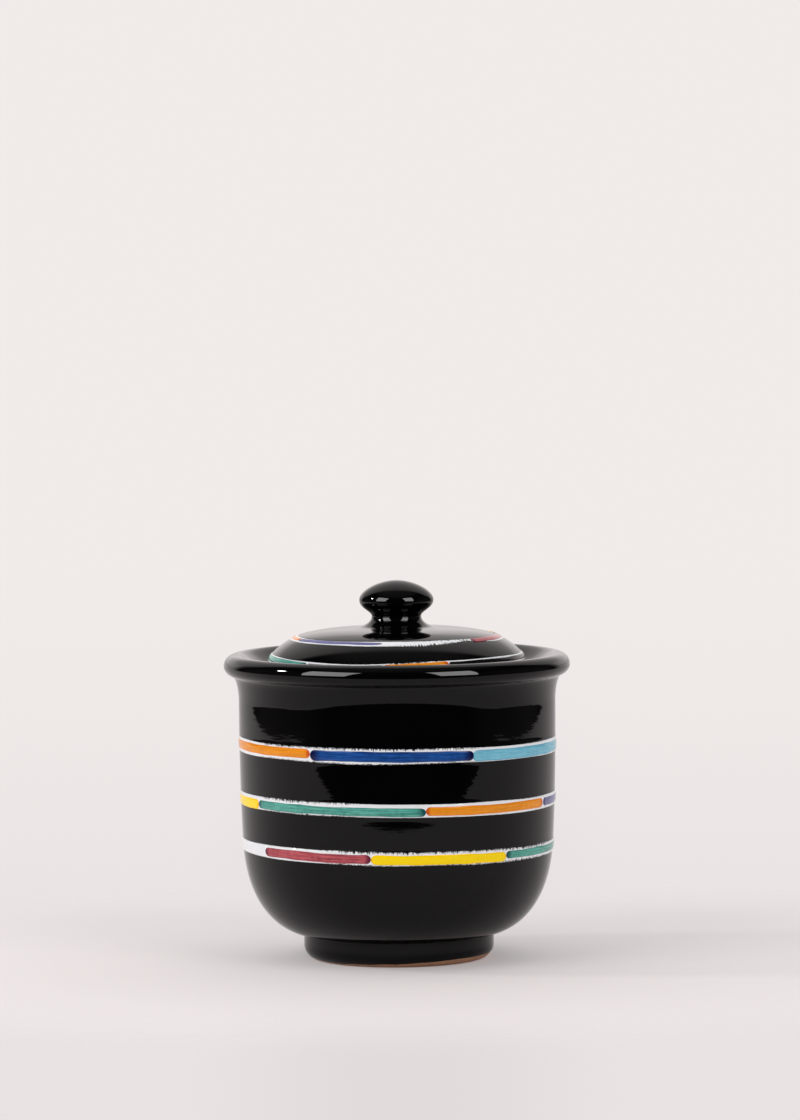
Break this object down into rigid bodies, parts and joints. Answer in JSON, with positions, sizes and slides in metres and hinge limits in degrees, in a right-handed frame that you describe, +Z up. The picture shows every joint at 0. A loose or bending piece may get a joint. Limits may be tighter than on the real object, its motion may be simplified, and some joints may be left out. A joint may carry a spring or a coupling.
{
  "type": "lidded jar",
  "caption": "Round earthenware jar with a rolled rim, foot ring and knobbed lid that sits in a gallery inside the rim, glazed black with white bands and coloured brush strokes.",
  "frame": {"origin": "centre of the foot ring's underside, on the table", "axes": "+Z up along the axis of the jar and lid, -Y towards the front, +X to the right"},
  "size_m": [0.1826, 0.1826, 0.1995],
  "materials": {
    "black_glaze": "gloss",
    "bare_terracotta": "matt",
    "white_glaze": "gloss",
    "enamel_orange": "gloss",
    "enamel_blue": "gloss",
    "enamel_sky": "gloss",
    "enamel_yellow": "gloss",
    "enamel_green": "gloss",
    "enamel_crimson": "gloss",
    "enamel_violet": "gloss",
    "enamel_black": "gloss"
  },
  "bodies": {
    "jar": {"jar_body": "black_glaze", "low_band": "white_glaze", "low_band_stroke_1_crimson": "enamel_crimson", "low_band_stroke_2_yellow": "enamel_yellow", "low_band_stroke_3_green": "enamel_green", "low_band_stroke_4_blue": "enamel_blue", "low_band_stroke_5_orange": "enamel_orange", "low_band_stroke_6_violet": "enamel_violet", "middle_band": "white_glaze", "middle_band_stroke_1_yellow": "enamel_yellow", "middle_band_stroke_2_green": "enamel_green", "middle_band_stroke_3_orange": "enamel_orange", "middle_band_stroke_4_violet": "enamel_violet", "middle_band_stroke_5_crimson": "enamel_crimson", "middle_band_stroke_6_sky": "enamel_sky", "high_band": "white_glaze", "high_band_stroke_1_orange": "enamel_orange", "high_band_stroke_2_blue": "enamel_blue", "high_band_stroke_3_sky": "enamel_sky", "high_band_stroke_4_yellow": "enamel_yellow", "high_band_stroke_5_crimson": "enamel_crimson", "high_band_stroke_6_green": "enamel_green"},
    "lid": {"lid_cover": "black_glaze", "lid_knob": "black_glaze", "lid_edge_band": "white_glaze", "lid_edge_band_stroke_1_green": "enamel_green", "lid_edge_band_stroke_2_black": "enamel_black", "lid_edge_band_stroke_3_orange": "enamel_orange", "lid_edge_band_stroke_4_black": "enamel_black", "lid_edge_band_stroke_5_blue": "enamel_blue", "lid_edge_band_stroke_6_yellow": "enamel_yellow", "lid_edge_band_stroke_7_crimson": "enamel_crimson", "lid_crown_band": "white_glaze", "lid_crown_band_stroke_1_orange": "enamel_orange", "lid_crown_band_stroke_2_violet": "enamel_violet", "lid_crown_band_stroke_3_crimson": "enamel_crimson", "lid_crown_band_stroke_4_yellow": "enamel_yellow", "lid_crown_band_stroke_5_green": "enamel_green", "lid_crown_band_stroke_6_sky": "enamel_sky"}
  },
  "joints": [
    {"name": "lid_lift", "type": "slide", "parent": "jar", "child": "lid", "axis": [0, 0, 1], "range_m": [0, 0.1]}
  ]
}
